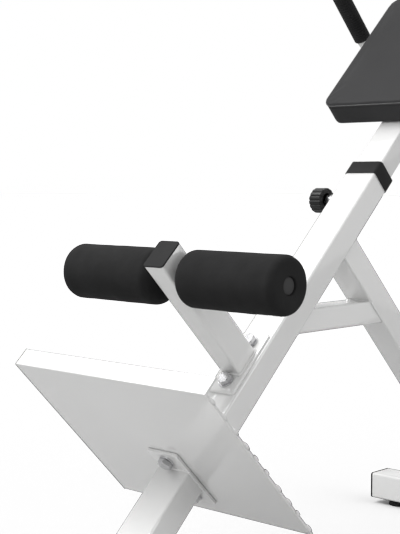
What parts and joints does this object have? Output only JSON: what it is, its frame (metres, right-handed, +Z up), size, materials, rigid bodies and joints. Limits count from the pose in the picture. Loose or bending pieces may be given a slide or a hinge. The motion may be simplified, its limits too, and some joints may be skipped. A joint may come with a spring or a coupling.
{
  "type": "roman chair",
  "caption": "Sloping steel back extension bench with a height-adjustable hip pad on a telescopic post, foam ankle rollers on a bolted post, a footplate and a floor frame.",
  "frame": {"origin": "on the floor, under the middle of the machine's outline", "axes": "+Z up, +X from the foot end towards the pad end, +Y to the left of someone standing on the footplate"},
  "size_m": [1.0716, 0.486, 1.0159],
  "materials": {
    "white_paint": "gloss white powder coat",
    "zinc_steel": "bright zinc plate",
    "black_plastic": "black injection-moulded plastic",
    "grey_nylon": "dark grey nylon",
    "foot_rubber": "matt black rubber",
    "roller_foam": "black closed-cell foam with a skin",
    "pad_vinyl": "charcoal vinyl upholstery",
    "pad_board": "plywood base under black backing cloth"
  },
  "bodies": {
    "frame": {"front_floor_tube": "white_paint", "rear_floor_tube": "white_paint", "front_left_end_cap": "black_plastic", "front_right_end_cap": "black_plastic", "rear_left_end_cap": "black_plastic", "rear_right_end_cap": "black_plastic", "front_left_foot": "foot_rubber", "front_right_foot": "foot_rubber", "rear_left_foot": "foot_rubber", "rear_right_foot": "foot_rubber", "front_saddle": "white_paint", "rear_saddle": "white_paint", "saddle_bolts": "zinc_steel", "saddle_nuts": "zinc_steel", "lower_tube": "white_paint", "lower_flange": "white_paint", "footplate": "white_paint", "flange_bolts": "zinc_steel", "flange_washers": "zinc_steel", "flange_nuts": "zinc_steel", "beam_flange": "white_paint", "main_beam": "white_paint", "rear_leg": "white_paint", "brace": "white_paint", "post_flange": "white_paint", "roller_post": "white_paint", "post_cap": "black_plastic", "post_bolts": "zinc_steel", "post_washers": "zinc_steel", "post_nuts": "zinc_steel", "roller_axle": "zinc_steel", "left_spacer": "black_plastic", "right_spacer": "black_plastic", "left_axle_plug": "grey_nylon", "right_axle_plug": "grey_nylon", "guide_collar": "black_plastic", "pin_housing": "zinc_steel", "pin_spring": "zinc_steel"},
    "pad_carriage": {"inner_tube": "white_paint", "inner_tube_shoe": "grey_nylon", "inner_tube_cap": "black_plastic", "pad_bracket": "white_paint", "pad_board": "pad_board", "pad_cushion": "pad_vinyl", "pad_screws": "zinc_steel", "handlebar": "white_paint", "left_grip": "foot_rubber", "right_grip": "foot_rubber", "left_bar_cap": "black_plastic", "right_bar_cap": "black_plastic"},
    "locking_pin": {"lock_pin": "zinc_steel", "pin_knob": "black_plastic"},
    "left_roller": {"left_roller_core": "grey_nylon", "left_roller_foam": "roller_foam"},
    "right_roller": {"right_roller_core": "grey_nylon", "right_roller_foam": "roller_foam"}
  },
  "joints": [
    {"name": "pad_height", "type": "slide", "parent": "frame", "child": "pad_carriage", "axis": [0.7193, 0, 0.6947], "range_m": [-0.09, 0.06]},
    {"name": "pin_travel", "type": "slide", "parent": "frame", "child": "locking_pin", "axis": [0, -1, 0], "range_m": [0, 0.01]},
    {"name": "left_roller_turn", "type": "hinge", "parent": "frame", "child": "left_roller", "pos_m": [-0.33633, 0.118, 0.51935], "axis": [0, 1, 0], "continuous": true},
    {"name": "right_roller_turn", "type": "hinge", "parent": "frame", "child": "right_roller", "pos_m": [-0.33633, -0.118, 0.51935], "axis": [0, 1, 0], "continuous": true}
  ]
}
